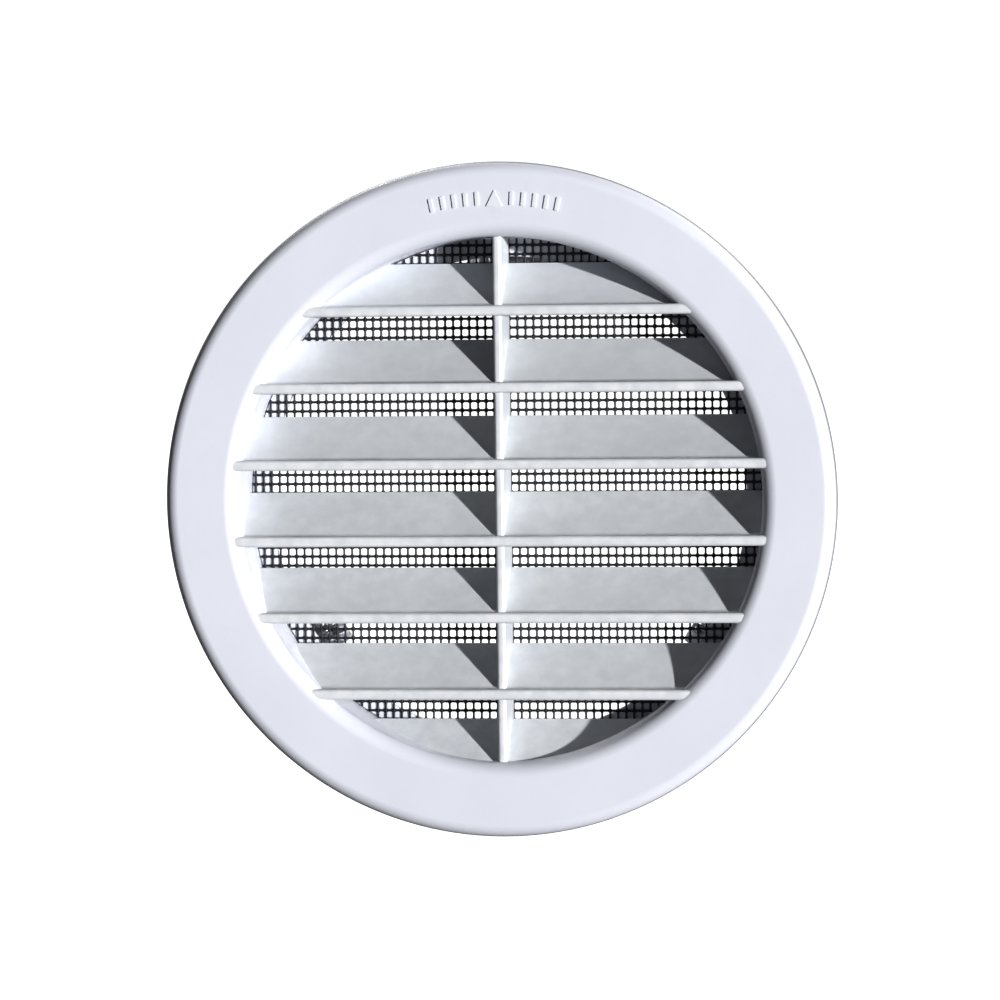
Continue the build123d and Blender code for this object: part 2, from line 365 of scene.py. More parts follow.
def build_soft_mottle():
    """Slow drift between two shades of the same plastic."""
    group, given, result = new_group(
        "soft_mottle",
        [("Vector", "NodeSocketVector", None), ("Scale", "NodeSocketFloat", 38.0),
         ("Light", "NodeSocketColor", (1, 1, 1, 1)), ("Dark", "NodeSocketColor", (0, 0, 0, 1))],
        [("Color", "NodeSocketColor")],
    )
    drift = node(group, "ShaderNodeTexNoise", {
        "Vector": given["Vector"], "Scale": given["Scale"], "Detail": 4.0, "Roughness": 0.6})
    mask = ramp(group, drift.outputs["Fac"], [(0.35, 0.0), (0.68, 1.0)])
    mix = node(group, "ShaderNodeMixRGB", {
        "Fac": mask, "Color1": given["Light"], "Color2": given["Dark"]})
    group.links.new(mix.outputs["Color"], result["Color"])
    return group


def build_edge_wear_and_crevice_shade():
    """Masks of sharp convex places for handled edges, and of concave places for painted shade in creases,
    both broken up by noise.
    """
    group, given, result = new_group(
        "edge_wear_and_crevice_shade",
        [("Vector", "NodeSocketVector", None), ("Breakup", "NodeSocketFloat", 420.0)],
        [("Mask", "NodeSocketFloat"), ("Crevice_Shade", "NodeSocketFloat")],
    )
    geometry = node(group, "ShaderNodeNewGeometry")
    raised = ramp(group, geometry.outputs["Pointiness"], [(0.52, 0.0), (0.62, 1.0)])
    # Concave places: the mask for painted shade in creases.
    sunk = ramp(group, geometry.outputs["Pointiness"], [(0.40, 1.0), (0.49, 0.0)])
    patch = node(group, "ShaderNodeTexNoise", {
        "Vector": given["Vector"], "Scale": given["Breakup"], "Detail": 3.0})
    broken = ramp(group, patch.outputs["Fac"], [(0.38, 0.15), (0.66, 1.0)])
    for source, target in ((raised, "Mask"), (sunk, "Crevice_Shade")):
        both = node(group, "ShaderNodeMath", {0: source, 1: broken}, operation="MULTIPLY")
        group.links.new(both.outputs[0], result[target])
    return group


def build_settled_dust():
    """Mask of dust lying on the faces that look up."""
    group, given, result = new_group(
        "settled_dust",
        [("Vector", "NodeSocketVector", None), ("Patches", "NodeSocketFloat", 160.0)],
        [("Mask", "NodeSocketFloat")],
    )
    coordinates = node(group, "ShaderNodeTexCoord")
    split = node(group, "ShaderNodeSeparateXYZ", {0: coordinates.outputs["Normal"]})
    upward = ramp(group, split.outputs["Z"], [(0.45, 0.0), (1.0, 1.0)])
    patch = node(group, "ShaderNodeTexNoise", {
        "Vector": given["Vector"], "Scale": given["Patches"], "Detail": 5.0, "Roughness": 0.65})
    broken = ramp(group, patch.outputs["Fac"], [(0.40, 0.0), (0.72, 1.0)])
    both = node(group, "ShaderNodeMath", {0: upward, 1: broken}, operation="MULTIPLY")
    group.links.new(both.outputs[0], result["Mask"])
    return group


groups = {
    "grain": build_moulded_grain(),
    "mottle": build_soft_mottle(),
    "edge_masks": build_edge_wear_and_crevice_shade(),
    "dust": build_settled_dust(),
}


def placed(tree, name, inputs):
    item = node(tree, "ShaderNodeGroup", node_tree=groups[name])
    for key, value in inputs.items():
        if isinstance(value, bpy.types.NodeSocket):
            tree.links.new(value, item.inputs[key])
        else:
            item.inputs[key].default_value = value
    return item.outputs


def new_material(name):
    """Material with a Principled shader; gives it, its tree, its shader and object coordinates."""
    material = bpy.data.materials.new(name)
    material.use_nodes = True
    tree = material.node_tree
    shader = tree.nodes["Principled BSDF"]
    place = node(tree, "ShaderNodeTexCoord").outputs["Object"]
    return material, tree, shader, place


def spread_range(tree, value, low, high):
    """Maps 0 to 1 onto low to high."""
    return node(tree, "ShaderNodeMapRange", {
        "Value": value, "To Min": low, "To Max": high}).outputs["Result"]


def blend_colour(tree, fac, first, second):
    return node(tree, "ShaderNodeMixRGB", {
        "Fac": fac, "Color1": first, "Color2": second}).outputs["Color"]


def painted_rim_shade_mask(tree, place):
    """Mask of the outer side of the flange, for a grey band of painted shade along the silhouette edge."""
    flat = node(tree, "ShaderNodeVectorMath", {0: place, 1: (1, 0, 1)}, operation="MULTIPLY")
    radius = node(tree, "ShaderNodeVectorMath", {0: flat.outputs[0]}, operation="LENGTH")
    return node(tree, "ShaderNodeMapRange", {
        "Value": radius.outputs["Value"], "From Min": flange_r - 0.30 * MM,
        "From Max": flange_r - 0.08 * MM}).outputs["Result"]


def moulded_plastic(name, light, dark, worn, dust_and_crevice_shade, rough=(0.36, 0.52), grain=0.18, dust=0.5,
                    painted_rim_shade=None):
    """Injection-moulded plastic: two close shades, grain, handled edges, settled dust, painted shade in
    creases, and an optional band of painted shade on the flange's outer side.
    """
    material, tree, shader, place = new_material(name)
    colour = placed(tree, "mottle", {"Vector": place, "Light": light, "Dark": dark})["Color"]
    edge_masks = placed(tree, "edge_masks", {"Vector": place})
    dusted = placed(tree, "dust", {"Vector": place})["Mask"]
    grains = placed(tree, "grain", {"Vector": place})
    amount = node(tree, "ShaderNodeMath", {0: edge_masks["Mask"], 1: 0.55}, operation="MULTIPLY")
    colour = blend_colour(tree, amount.outputs[0], colour, worn)
    # Painted shade: concave places are darkened toward the dust colour.
    crevice_shade = node(tree, "ShaderNodeMath", {0: edge_masks["Crevice_Shade"], 1: 0.35}, operation="MULTIPLY")
    colour = blend_colour(tree, crevice_shade.outputs[0], colour, dust_and_crevice_shade)
    film = node(tree, "ShaderNodeMath", {0: dusted, 1: dust}, operation="MULTIPLY")
    colour = blend_colour(tree, film.outputs[0], colour, dust_and_crevice_shade)
    # Painted shade: a grey band on the outer side of the flange.
    if painted_rim_shade:
        colour = blend_colour(tree, painted_rim_shade_mask(tree, place), colour, painted_rim_shade)
    tree.links.new(colour, shader.inputs["Base Color"])
    roughness = spread_range(tree, grains["Speckle"], *rough)
    matt = node(tree, "ShaderNodeMath", {0: film.outputs[0], 1: 0.35, 2: roughness},
                operation="MULTIPLY_ADD")
    tree.links.new(matt.outputs[0], shader.inputs["Roughness"])
    bump = node(tree, "ShaderNodeBump", {
        "Strength": grain, "Distance": 0.05 * MM, "Height": grains["Height"]})
    tree.links.new(bump.outputs["Normal"], shader.inputs["Normal"])
    shader.inputs["Specular IOR Level"].default_value = 0.45
    shader.inputs["IOR"].default_value = 1.49
    return material


def coated_mesh(name):
    """Black coating over woven wire, rubbed a little grey on the crowns."""
    material, tree, shader, place = new_material(name)
    colour = placed(tree, "mottle", {
        "Vector": place, "Scale": 260.0, "Light": (0.008, 0.009, 0.012, 1),
        "Dark": (0.018, 0.019, 0.025, 1)})["Color"]
    edge_masks = placed(tree, "edge_masks", {"Vector": place, "Breakup": 900.0})["Mask"]
    rubbed = node(tree, "ShaderNodeMath", {0: edge_masks, 1: 0.35}, operation="MULTIPLY")
    colour = blend_colour(tree, rubbed.outputs[0], colour, (0.07, 0.073, 0.085, 1))
    tree.links.new(colour, shader.inputs["Base Color"])
    grains = placed(tree, "grain", {"Vector": place, "Fine": 6000.0, "Wave": 700.0})
    tree.links.new(spread_range(tree, grains["Speckle"], 0.38, 0.6), shader.inputs["Roughness"])
    bump = node(tree, "ShaderNodeBump", {
        "Strength": 0.25, "Distance": 0.03 * MM, "Height": grains["Height"]})
    tree.links.new(bump.outputs["Normal"], shader.inputs["Normal"])
    return material


def drawn_metal(name, light, dark, stretch, rough):
    """Bare metal with fine drawing marks along one direction of the piece."""
    material, tree, shader, place = new_material(name)
    streaks = node(tree, "ShaderNodeMapping", {"Vector": place, "Scale": stretch})
    grains = placed(tree, "grain", {
        "Vector": streaks.outputs["Vector"], "Fine": 3200.0, "Wave": 300.0})
    colour = placed(tree, "mottle", {
        "Vector": place, "Scale": 240.0, "Light": light, "Dark": dark})["Color"]
    edge_masks = placed(tree, "edge_masks", {"Vector": place})
    # Painted shade: concave places are darkened toward near-black.
    crevice_shade = node(tree, "ShaderNodeMath", {0: edge_masks["Crevice_Shade"], 1: 0.5}, operation="MULTIPLY")
    colour = blend_colour(tree, crevice_shade.outputs[0], colour, (0.08, 0.075, 0.07, 1))
    tree.links.new(colour, shader.inputs["Base Color"])
    tree.links.new(spread_range(tree, grains["Speckle"], *rough), shader.inputs["Roughness"])
    bump = node(tree, "ShaderNodeBump", {
        "Strength": 0.3, "Distance": 0.02 * MM, "Height": grains["Height"]})
    tree.links.new(bump.outputs["Normal"], shader.inputs["Normal"])
    shader.inputs["Metallic"].default_value = 1.0
    return material


finishes = {
    "white_plastic": moulded_plastic(
        "moulded_white_plastic", (0.735, 0.75, 0.81, 1), (0.705, 0.722, 0.785, 1),
        (0.90, 0.90, 0.93, 1), (0.52, 0.51, 0.49, 1), dust=0.25,
        # grey of the painted shade band on the flange's outer side
        painted_rim_shade=(0.30, 0.30, 0.31, 1)),
    # The louvre plastic is a darker copy of the white plastic: painted shade for the blades and rib, which
    # get less light inside the throat.
    "louvre_plastic": moulded_plastic(
        "moulded_louvre_plastic_shaded", (0.67, 0.69, 0.715, 1), (0.635, 0.66, 0.69, 1),
        (0.88, 0.88, 0.89, 1), (0.46, 0.455, 0.44, 1), rough=(0.34, 0.48), grain=0.12, dust=0.35),
    "screen_mesh": coated_mesh("coated_black_mesh"),
    "spring_steel": drawn_metal(
        "drawn_spring_steel", (0.56, 0.565, 0.58, 1), (0.42, 0.42, 0.44, 1),
        (0.12, 1.0, 1.0), (0.2, 0.42)),
    "pin_steel": drawn_metal(
        "zinc_plated_pin", (0.66, 0.67, 0.68, 1), (0.52, 0.53, 0.55, 1),
        (1.0, 1.0, 1.0), (0.28, 0.5)),
}


# ---- flange ----
def flange_ring():
    """Face ring: rounded mouth and outer edge, and the relief behind it."""
    relief_in = seat_r + LAND_WIDTH
    relief_out = flange_r - RIM_WIDTH
    floor_y = face_y + FACE_SKIN
    return turned("flange", [
        (throat_r, 0.0, 0, 1),
        (throat_r, face_y, LIP_R, 12),
        (flange_r, face_y, EDGE_R, 10),
        (flange_r, 0.0, SMALL_R, 2),
        (relief_out, 0.0, SMALL_R, 2),
        (relief_out, floor_y, 2 * SMALL_R, 3),
        (relief_in, floor_y, 2 * SMALL_R, 3),
        (relief_in, 0.0, 0, 1),
    ])


def stiffening_webs():
    """Short webs across the relief, one modelled and the rest turned copies of it."""
    relief_in = seat_r + LAND_WIDTH
    relief_out = flange_r - RIM_WIDTH
    floor_y = face_y + FACE_SKIN
    overlap = 0.3 * MM
    depth = -floor_y - WEB_SINK + overlap
    first = block(
        "web", (0, floor_y - overlap + depth / 2, (relief_in + relief_out) / 2),
        (WEB_WIDTH, depth, relief_out - relief_in + 2 * overlap),
    )
    pick_edges(first, lambda a, b: min(a.y, b.y) > floor_y and abs(a.x - b.x) < 0.1 * MM)
    bpy.ops.mesh.select_all(action="INVERT")
    done()
    soften(first, width=SMALL_R)
    webs = []
    for number in range(WEB_COUNT):
        web = copy_of(first, f"web_{number}")
        settle(web, rotation=(0, 2 * pi * (number + 0.5) / WEB_COUNT, 0))
        webs.append(web)
    bpy.data.objects.remove(first)
    return join("webs", webs)


def fitting_marks():
    """Arrow for the way up between two rows of levelling ticks."""
    middle_r = (throat_r + LIP_R + flange_r - EDGE_R) / 2
    half = 0.6 * TICK_LENGTH
    arrow = outline("up_arrow", [
        ((0, face_y + MARK_HEIGHT, middle_r + half), 0, 1),
        ((half, face_y + MARK_HEIGHT, middle_r - half), 0, 1),
        ((-half, face_y + MARK_HEIGHT, middle_r - half), 0, 1),
    ])
    edit(arrow)
    bpy.ops.mesh.edge_face_add()
    bpy.ops.mesh.extrude_region_move(
        TRANSFORM_OT_translate={"value": (0, -2 * MARK_HEIGHT, 0)})
    tidy_shell()
    done()
    marks = [arrow]
    for number in range(1, TICK_COUNT + 1):
        for side in (-1, 1):
            tick = block(
                "tick", (0, face_y, middle_r), (MARK_STROKE, 2 * MARK_HEIGHT, TICK_LENGTH))
            settle(tick, rotation=(0, side * (number + 0.5) * TICK_STEP, 0))
            marks.append(tick)
    for mark in marks:
        soften(mark, width=0.08 * MM, segments=2, angle=50)
    return join("fitting_marks", marks)


def make_flange():
    flange = flange_ring()
    combine(flange, stiffening_webs(), "UNION")
    combine(flange, fitting_marks(), "UNION")
    shade(flange, 35)
    finish_piece(flange, "white_plastic", "flange")


# ---- louvres and rib ----
def wall_cutter(far_y):
    """Everything outside the throat and its rounded mouth, back to far_y."""
    beyond = 1.6 * flange_r
    return turned("wall_cutter", [
        (throat_r, far_y, 0, 1),
        (throat_r, face_y, LIP_R, 12),
        (beyond, face_y, 0, 1),
        (beyond, far_y, 0, 1),
    ])


def blade_outline(number):
    """Section of a blade at the left end: front bar and rising plate, or only the plate."""
    top = BAR_HEIGHT / 2
    end_x = -flange_r
    z = bar_z[number - 1]
    back_top = (bar_back + blade_run, top + blade_rise)
    back_low = (
        back_top[0] + BLADE_THICK * sin(BLADE_SLOPE),
        back_top[1] - BLADE_THICK * cos(BLADE_SLOPE),
    )
    if number == BLADE_COUNT:
        run = blade_run + BAR_DEPTH
        rise = run * tan(BLADE_SLOPE)
        corners = [
            (back_top[0] - run, back_top[1] - rise, 0, 1),
            (back_low[0] - run, back_low[1] - rise, 0, 1),
            (*back_low, BLADE_BACK_ROUND, 3),
            (*back_top, BLADE_BACK_ROUND, 3),
        ]
    else:
        under_y = back_low[0] - (back_low[1] + top) / tan(BLADE_SLOPE)
        corners = [
            (bar_front, -top, BAR_ROUND, 6),
            (under_y, -top, 0.4 * MM, 4),
            (*back_low, BLADE_BACK_ROUND, 3),
            (*back_top, BLADE_BACK_ROUND, 3),
            (bar_back, top, BAR_ROUND, 5),
            (bar_front, top, BAR_ROUND, 6),
        ]
    return outline(
        f"blade_{number}",
        [((end_x, y, z + rise), size, segments) for y, rise, size, segments in corners],
    )


def make_louvres(cutter):
    blades = []
    for number in range(1, BLADE_COUNT + 1):
        blade = blade_outline(number)
        edit(blade)
        bpy.ops.mesh.edge_face_add()
        bpy.ops.mesh.extrude_region_move(
            TRANSFORM_OT_translate={"value": (2 * flange_r, 0, 0)})
        tidy_shell()
        done()
        combine(blade, copy_of(cutter, "cutter_copy"), "DIFFERENCE")
        shade(blade)
        blades.append(blade)
    return blades


def make_rib(cutter, blades):
    """Comb behind the bars with a slot for every blade."""
    size = rib_high - rib_low
    rib = block("centre_rib_comb", (rib_high + rib_low) / 2, (size.x, size.y, 2 * flange_r))
    front = rib_low.y
    pick_edges(rib, lambda a, b: abs(a.z - b.z) > MM and a.y < front + MM)
    bpy.ops.mesh.bevel(offset=RIB_FRONT_ROUND, segments=5, affect="EDGES")
    done()
    pick_edges(rib, lambda a, b: abs(a.z - b.z) > MM and a.y > rib_high.y - 0.01 * MM)
    bpy.ops.mesh.bevel(offset=RIB_BACK_ROUND, segments=2, affect="EDGES")
    done()
    combine(rib, cutter, "DIFFERENCE")
    combine(rib, join("all_blades", [copy_of(blade, "slot_tool") for blade in blades]), "DIFFERENCE")
    shade(rib)
    finish_piece(rib, "louvre_plastic", "centre_rib")


# ---- woven screen ----
def woven_wire(name, count, pitch, width, along_x):
    """One flattened wire that passes over and under count crossings, centred on the axis."""
    turn = (0, pi / 2, 0) if along_x else (0, 0, 0)
    deselect()
    bpy.ops.mesh.primitive_cylinder_add(
        vertices=6, radius=0.5, depth=count * pitch, rotation=turn, location=(0, screen_y, 0))
    wire = named(name)
    bpy.ops.object.transform_apply(location=True, rotation=True, scale=True)
    edit(wire)
    squeeze = (1, WIRE_THICK, width) if along_x else (width, WIRE_THICK, 1)
    bpy.ops.transform.resize(value=squeeze, center_override=(0, screen_y, 0))
    done()
    axis = 0 if along_x else 2
    pick_edges(wire, lambda a, b: abs(a[axis] - b[axis]) > pitch)
    bpy.ops.mesh.subdivide(number_cuts=2 * count - 1)
    for direction in (1, -1):
        done()
        for vertex in wire.data.vertices:
            step = round(vertex.co[axis] / (pitch / 2))
            over = step % 4 == 1 if direction == 1 else step % 4 == 3
            vertex.select = over
        bpy.ops.object.mode_set(mode="EDIT")
        bpy.ops.mesh.select_mode(type="VERT")
        bpy.ops.transform.translate(value=(0, direction * WEAVE, 0))
    done()
    return wire


def trimmed_wire(source, name, offset, mirrored, reach, along_x):
    """Copy of a wire moved to its place and cut at both ends where the round screen ends."""
    wire = copy_of(source, name)
    edit(wire)
    if mirrored:
        bpy.ops.transform.resize(value=(1, -1, 1), center_override=(0, screen_y, 0))
        bpy.ops.mesh.normals_make_consistent(inside=False)
    bpy.ops.transform.translate(value=(0, 0, offset) if along_x else (offset, 0, 0))
    half = (reach ** 2 - offset ** 2) ** 0.5
    for side in (-1, 1):
        cut = (side * half, screen_y, 0) if along_x else (0, screen_y, side * half)
        outwards = (side, 0, 0) if along_x else (0, 0, side)
        bpy.ops.mesh.select_all(action="SELECT")
        bpy.ops.mesh.bisect(plane_co=cut, plane_no=outwards, clear_outer=True, use_fill=True)
    done()
    return wire


def coating_knots(across, upright, reach):
    """A flat eight-sided bead for every crossing inside the round screen."""
    corner = (-(across - 1) / 2 * MESH_PITCH_X, screen_y, -(upright - 1) / 2 * MESH_PITCH_Z)
    deselect()
    bpy.ops.mesh.primitive_cone_add(
        vertices=8, radius1=KNOT_R, radius2=0, depth=KNOT_THICK, end_fill_type="TRIFAN",
        rotation=(pi / 2, 0, 0), location=corner)
    knots = named("knots")
    bpy.ops.object.transform_apply(location=True, rotation=True, scale=True)
    rim = KNOT_R / 2
    for vertex in knots.data.vertices:
        away = Vector((vertex.co.x - corner[0], vertex.co.z - corner[2])).length
        if away > rim:
            vertex.co.y = screen_y
    for count, pitch, axis in ((across, MESH_PITCH_X, 0), (upright, MESH_PITCH_Z, 2)):
        step = [0, 0, 0]
        step[axis] = pitch
        modify(
            knots, "ARRAY", count=count, use_relative_offset=False, use_constant_offset=True,
            constant_offset_displace=step)
    edit(knots)
    bpy.ops.mesh.select_all(action="DESELECT")
    done()
    for vertex in knots.data.vertices:
        x = (round(vertex.co.x / MESH_PITCH_X - 0.5) + 0.5) * MESH_PITCH_X
        z = (round(vertex.co.z / MESH_PITCH_Z - 0.5) + 0.5) * MESH_PITCH_Z
        vertex.select = Vector((x, z)).length > reach - KNOT_R
    bpy.ops.object.mode_set(mode="EDIT")
    bpy.ops.mesh.delete(type="VERT")
    bpy.ops.mesh.select_all(action="SELECT")
    bpy.ops.mesh.normals_make_consistent(inside=False)
    done()
    return knots


def make_screen():
    reach = screen_high.x - SCREEN_CLEAR
    across = 2 * int(reach / MESH_PITCH_X + 0.5)
    upright = 2 * int(reach / MESH_PITCH_Z + 0.5)
    cross_wire = woven_wire("cross_wire", across + 2, MESH_PITCH_X, CROSS_WIRE_WIDTH, True)
    upright_wire = woven_wire("upright_wire", upright + 2, MESH_PITCH_Z, UPRIGHT_WIRE_WIDTH, False)
    wires = []
    for row in range(upright):
        offset = (row - (upright - 1) / 2) * MESH_PITCH_Z
        wires.append(trimmed_wire(cross_wire, f"row_{row}", offset, row % 2 == 1, reach, True))
    for column in range(across):
        offset = (column - (across - 1) / 2) * MESH_PITCH_X
        wires.append(
            trimmed_wire(upright_wire, f"column_{column}", offset, column % 2 == 0, reach, False))
    bpy.data.objects.remove(cross_wire)
    bpy.data.objects.remove(upright_wire)
    screen = join("woven_screen", [coating_knots(across, upright, reach)] + wires)
    use(screen)
    bpy.ops.object.shade_smooth()
    finish_piece(screen, "screen_mesh", "insect_screen")


def make_ring():
    outer = ring_high.x
    ring = turned("snap_ring", [
        (outer - RING_WIDTH, ring_low.y, SMALL_R, 3),
        (outer, ring_low.y, SMALL_R, 3),
        (outer, ring_high.y, SMALL_R, 3),
        (outer - RING_RIM, ring_high.y, SMALL_R, 3),
        (outer - RING_RIM, ring_low.y + RING_THICK, 2 * SMALL_R, 3),
        (outer - RING_WIDTH, ring_low.y + RING_THICK, SMALL_R, 3),
    ], steps=192)
    shade(ring)
    finish_piece(ring, "white_plastic", "screen_ring")


# ---- collar ----
def ring_catch():
    """Bead with a sloping back that the snap ring is pushed past."""
    front = ring_high.y + CATCH_GAP
    bury = 0.3 * MM
    bead = outline("catch", [
        ((0, front, throat_r + bury), 0, 1),
        ((0, front, throat_r - CATCH_BITE), 0.08 * MM, 2),
        ((0, front + CATCH_LENGTH, throat_r), 0, 1),
        ((0, front + CATCH_LENGTH, throat_r + bury), 0, 1),
    ])
    edit(bead)
    bpy.ops.mesh.edge_face_add()
    bpy.ops.mesh.spin(steps=10, angle=-CATCH_ARC, center=(0, 0, 0), axis=(0, 1, 0))
    tidy_shell()
    done()
    settle(bead, rotation=(0, -CATCH_ARC / 2, 0))
    return bead


def clip_window():
    """Cutter for the opening that a bow swings through."""
    low_y, high_y = window_ends()
    half = BOW_WIDTH / 2 + CLIP_WIRE_R + WINDOW_CLEAR
    middle = (0, (low_y + high_y) / 2, (seat_r + throat_r) / 2)
    window = block("window", middle, (2 * half, high_y - low_y, 4 * (seat_r - throat_r)))
    pick_edges(window, lambda a, b: abs(a.z - b.z) > MM)
    bpy.ops.mesh.bevel(offset=WINDOW_CORNER_R, segments=6, affect="EDGES")
    done()
    return window


def window_ends():
    """Front and back of the window, read off the collar's own edges beside the middle."""
    half = BOW_WIDTH / 2
    edges = [
        vertex.co.y for vertex in frame["nodes"]["collar"].data.vertices
        if abs(vertex.co.x) < half and vertex.co.z > throat_r - 0.5 * MM
        and SEAT_LENGTH + MM < vertex.co.y < collar_high.y - LEAD_IN - MM
    ]
    return min(edges), max(edges)


def make_collar():
    barrel_r = seat_r - SEAT_HEIGHT
    collar = turned("collar_tube", [
        (throat_r, 0.0, 0, 1),
        (seat_r, 0.0, 0, 1),
        (seat_r, SEAT_LENGTH, SMALL_R, 3),
        (barrel_r, SEAT_LENGTH + SEAT_RAMP, SMALL_R, 3),
        (barrel_r, collar_high.y - LEAD_IN, 0.4 * MM, 3),
        (barrel_r - LEAD_IN, collar_high.y, SMALL_R, 3),
        (throat_r, collar_high.y, 0.3 * MM, 3),
    ])
    window = clip_window()
    cuts = []
    for number, angle in enumerate(clip_angles):
        cuts.append(copy_of(window, f"window_{number}"))
        settle(cuts[-1], rotation=(0, angle, 0))
    bpy.data.objects.remove(window)
    combine(collar, join("windows", cuts), "DIFFERENCE")
    catch = ring_catch()
    beads = []
    for number in range(CATCH_COUNT):
        beads.append(copy_of(catch, f"catch_{number}"))
        settle(beads[-1], rotation=(0, 2 * pi * (number + 0.5) / CATCH_COUNT, 0))
    bpy.data.objects.remove(catch)
    combine(collar, join("catches", beads), "UNION")
    shade(collar)
    finish_piece(collar, "white_plastic", "collar")


# ---- spring clips ----
def bracket_for_pin():
    """Two ears and the web behind them, moulded on the inside of the collar."""
    low_y = pivot.y - EAR_ROUND_R
    low_z = pivot.z - EAR_ROUND_R
    wall_z = throat_r + MM
    bracket = outline("bracket", [
        ((-ear_outside, low_y, wall_z), 0, 1),
        ((-ear_outside, low_y, low_z), EAR_ROUND_R, 12),
        ((-ear_outside, collar_high.y, low_z), 0.8 * MM, 4),
        ((-ear_outside, collar_high.y, wall_z), 0, 1),
    ])
    edit(bracket)
    bpy.ops.mesh.edge_face_add()
    bpy.ops.mesh.extrude_region_move(TRANSFORM_OT_translate={"value": (2 * ear_outside, 0, 0)})
    tidy_shell()
    done()
    web_y = pivot.y + coil_r + CLIP_WIRE_R + COIL_TO_WEB
    gap_y = low_y - MM
    gap = block(
        "gap", (0, (gap_y + web_y) / 2, pivot.z),
        (2 * ear_inside, web_y - gap_y, 6 * EAR_ROUND_R),
    )
    combine(bracket, gap, "DIFFERENCE")
    soften(bracket, 0.22 * MM, 3, 45)
    combine(bracket, wall_cutter(collar_high.y + MM), "DIFFERENCE")
    deselect()
    bpy.ops.mesh.primitive_cylinder_add(
        vertices=48, radius=PIN_R + PIN_CLEAR, depth=4 * ear_outside, location=pivot,
        rotation=(0, pi / 2, 0))
    hole = named("pin_hole")
    bpy.ops.object.transform_apply(location=True, rotation=True, scale=True)
    combine(bracket, hole, "DIFFERENCE")
    shade(bracket)
    return bracket


def headed_pin():
    """Turned about Y, then laid along the pin's axis with its head on the +X side."""
    shank = -ear_outside
    under_head = ear_outside
    pin = turned("pin", [
        (0.0, shank, 0, 1),
        (PIN_R, shank, 0.3 * MM, 3),
        (PIN_R, under_head, 0, 1),
        (PIN_HEAD_R, under_head, 0.12 * MM, 2),
        (PIN_HEAD_R, under_head + PIN_HEAD, 0.45 * MM, 5),
        (0.0, under_head + PIN_HEAD, 0, 1),
    ], steps=48)
    settle(pin, location=pivot, rotation=(0, 0, -pi / 2))
    shade(pin)
    return pin


def bend(steps, angle, centre, axis):
    """Carries the selected wire end round a centre, turning it right-handed about the axis."""
    bpy.ops.mesh.spin(steps=steps, angle=-angle, center=centre, axis=axis)


def bent_wire():
    """Bent from one wire: half of the bow and a coil on the pin, then mirrored."""
    start = pivot + Vector((0, sin(BOW_ANGLE), cos(BOW_ANGLE))) * coil_r
    back = Vector((0, cos(BOW_ANGLE), -sin(BOW_ANGLE)))
    sideways = Vector((1, 0, 0))
    leg = (clip_high.z - CLIP_WIRE_R - start.z) / sin(BOW_ANGLE)
    tip = start - back * leg
    straight = BOW_WIDTH / 2 - BOW_CORNER_R
    deselect()
    bpy.ops.mesh.primitive_circle_add(
        vertices=14, radius=CLIP_WIRE_R, location=tip, rotation=(0, pi / 2, 0))
    wire = named("bent_wire")
    bpy.ops.object.transform_apply(location=True, rotation=True, scale=True)
    edit(wire)
    bpy.ops.mesh.extrude_region_move(TRANSFORM_OT_translate={"value": sideways * straight})
    corner = tip + sideways * straight + back * BOW_CORNER_R
    bend(8, pi / 2, corner, sideways.cross(back))
    bpy.ops.mesh.extrude_region_move(
        TRANSFORM_OT_translate={"value": back * (leg - BOW_CORNER_R)})
    travel = COIL_LENGTH - 2 * CLIP_WIRE_R
    turn = 2 * pi * travel / (2 * CLIP_WIRE_R)
    steps = ceil(turn / radians(18))
    for _ in range(steps):
        bend(1, -turn / steps, pivot, sideways)
        bpy.ops.transform.translate(value=(travel / steps, 0, 0))
    bpy.ops.mesh.edge_face_add()
    bpy.ops.mesh.bevel(offset=0.15 * MM, segments=2, affect="EDGES")
    bpy.ops.mesh.select_all(action="SELECT")
    bpy.ops.mesh.duplicate()
    bpy.ops.transform.resize(value=(-1, 1, 1), center_override=(0, 0, 0))
    tidy_shell()
    done()
    shade(wire, 50)
    return wire


def make_clips():
    bracket = bracket_for_pin()
    pin = headed_pin()
    wire = bent_wire()
    for number, angle in enumerate(clip_angles, 1):
        for source, name, node_name, slot, body in (
            (bracket, "pin_bracket", "clip_bracket", "white_plastic", BODY),
            (pin, "headed_pin", "clip_pin", "pin_steel", BODY),
            (wire, "sprung_bow", "spring_clip", "spring_steel", f"spring_clip_{number}"),
        ):
            piece = copy_of(source, f"{name}_{number}")
            settle(piece, rotation=(0, angle, 0))
            finish_piece(piece, slot, f"{node_name}_{number}", body=body)
    for source in (bracket, pin, wire):
        bpy.data.objects.remove(source)


cutter = wall_cutter(rib_high.y + 5 * MM)
blades = make_louvres(cutter)
make_rib(cutter, blades)
for number, blade in enumerate(blades, 1):
    finish_piece(blade, "louvre_plastic", f"louvre_{number}")
make_flange()
make_collar()
make_screen()
make_ring()
make_clips()


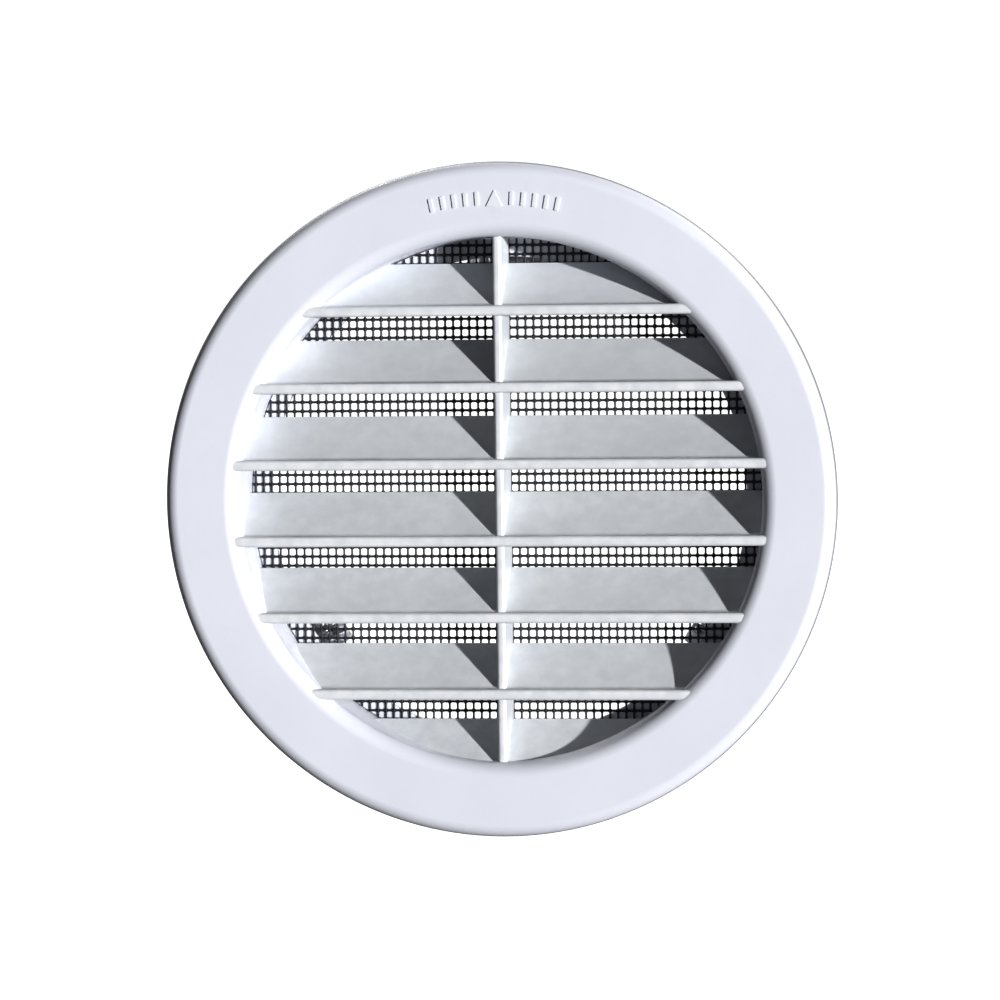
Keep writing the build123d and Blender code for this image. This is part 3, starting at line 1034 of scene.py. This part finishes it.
# ---- stage, light and camera ----
def make_stage():
    deselect()
    bpy.ops.mesh.primitive_circle_add(
        vertices=64, radius=12.0, fill_type="NGON", location=(0, 0, flange_low.z - 8 * MM))
    floor = named("studio_floor")
    material, tree, shader, place = new_material("pale_floor")
    shader.inputs["Base Color"].default_value = (0.25, 0.25, 0.255, 1)
    shader.inputs["Roughness"].default_value = 0.9
    shader.inputs["Emission Color"].default_value = (1, 1, 1, 1)
    path = node(tree, "ShaderNodeLightPath")
    away = node(tree, "ShaderNodeVectorMath", {0: place}, operation="LENGTH")
    glow = node(tree, "ShaderNodeMapRange", {
        "Value": away.outputs["Value"], "From Min": 0.12, "From Max": 0.7,
        "To Min": 0.92, "To Max": 1.0})
    seen = node(tree, "ShaderNodeMath", {
        0: path.outputs["Is Camera Ray"], 1: glow.outputs["Result"]}, operation="MULTIPLY")
    tree.links.new(seen.outputs[0], shader.inputs["Emission Strength"])
    floor.data.materials.append(material)


def make_world():
    world = bpy.data.worlds.new("studio_white")
    world.use_nodes = True
    tree = world.node_tree
    background = tree.nodes["Background"]
    path = node(tree, "ShaderNodeLightPath")
    level = node(tree, "ShaderNodeMapRange", {
        "Value": path.outputs["Is Camera Ray"], "To Min": 0.02, "To Max": 1.05})
    background.inputs["Color"].default_value = (0.97, 0.98, 1.0, 1)
    tree.links.new(level.outputs["Result"], background.inputs["Strength"])
    bpy.context.scene.world = world


def aim(item, place, target=(0, 0, 0)):
    item.location = place
    item.rotation_mode = "QUATERNION"
    item.rotation_quaternion = (Vector(target) - Vector(place)).to_track_quat("-Z", "Y")


def add_light(name, kind, place, energy, **settings):
    data = bpy.data.lights.new(name, kind)
    data.energy = energy
    for key, value in settings.items():
        setattr(data, key, value)
    item = bpy.data.objects.new(name, data)
    bpy.context.scene.collection.objects.link(item)
    aim(item, place)


def make_lights():
    angle = radians(46.0)
    add_light("key", "SUN", (sin(angle), -cos(angle), 0.02), 4.65, angle=radians(2.0))
    add_light("back_left", "AREA", (-0.9, 1.5, 1.5), 30.0, size=0.9)
    add_light("back_right", "AREA", (1.0, 1.2, 1.4), 20.0, size=0.9)


def make_camera():
    """Nearly square to the face: a little from the right and from above."""
    yaw, pitch, roll = radians(7.3), radians(3.2), radians(0.67)
    distance = 0.8
    data = bpy.data.cameras.new("camera")
    data.sensor_width = 36.0
    data.lens = 162.0
    data.clip_end = 50.0
    camera = bpy.data.objects.new("camera", data)
    bpy.context.scene.collection.objects.link(camera)
    aim(camera, Vector((sin(yaw) * cos(pitch), -cos(yaw) * cos(pitch), sin(pitch))) * distance)
    camera.rotation_quaternion = camera.rotation_quaternion @ Matrix.Rotation(-roll, 3, "Z").to_quaternion()
    bpy.context.scene.camera = camera


make_stage()
make_world()
make_lights()
make_camera()
bpy.context.scene.view_settings.view_transform = "Standard"
bpy.context.scene.view_settings.gamma = 0.8
bpy.context.scene.view_settings.exposure = 0.05
